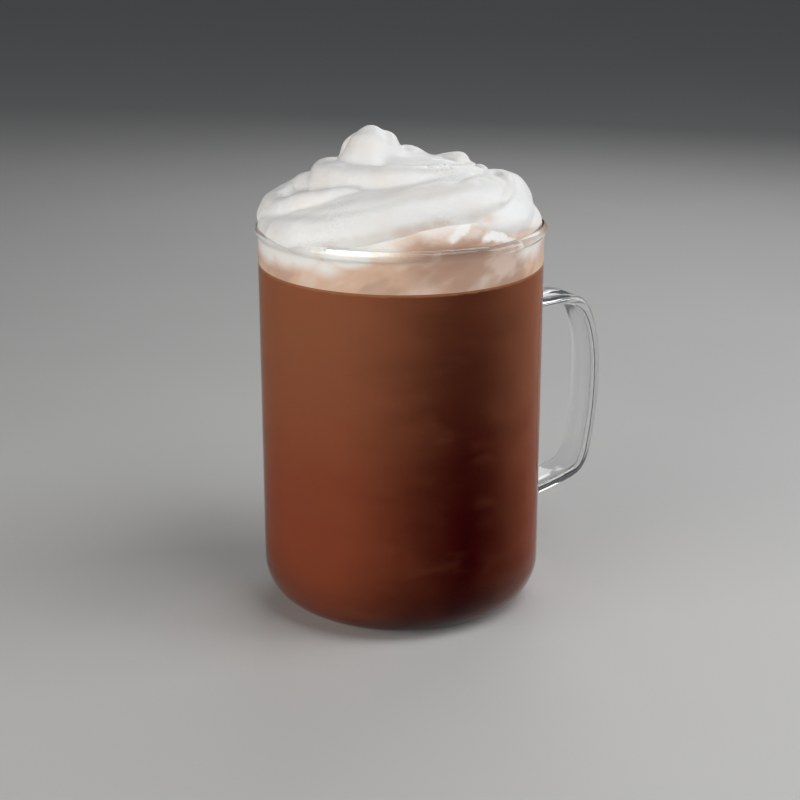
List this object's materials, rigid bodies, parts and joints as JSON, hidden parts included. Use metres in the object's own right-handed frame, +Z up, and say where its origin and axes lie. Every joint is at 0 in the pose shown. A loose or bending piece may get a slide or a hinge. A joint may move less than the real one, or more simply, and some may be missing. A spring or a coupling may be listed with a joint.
{
  "type": "caffe mocha in a glass mug",
  "caption": "Caffe mocha in a tall clear glass mug with a strap handle, under tan milk foam and a leaning swirl of whipped cream.",
  "frame": {"origin": "middle of the mug's flat base, on the axis of its round body", "axes": "+Z up along the body's axis, +X from the axis towards the handle, +Y completing a right-handed frame"},
  "size_m": [0.1096, 0.0842, 0.1423],
  "materials": {
    "clear_glass": "clear, smooth, fire-polished rim",
    "mocha": "opaque milky brown drink against glass",
    "milk_foam": "tan foam with fine bubbles, whiter where cream melts into it",
    "whipped_cream": "soft white cream with a faint wet sheen"
  },
  "bodies": {
    "root": {"glass_mug": "clear_glass", "mocha": "mocha", "milk_foam": "milk_foam", "whipped_cream": "whipped_cream"}
  },
  "joints": []
}
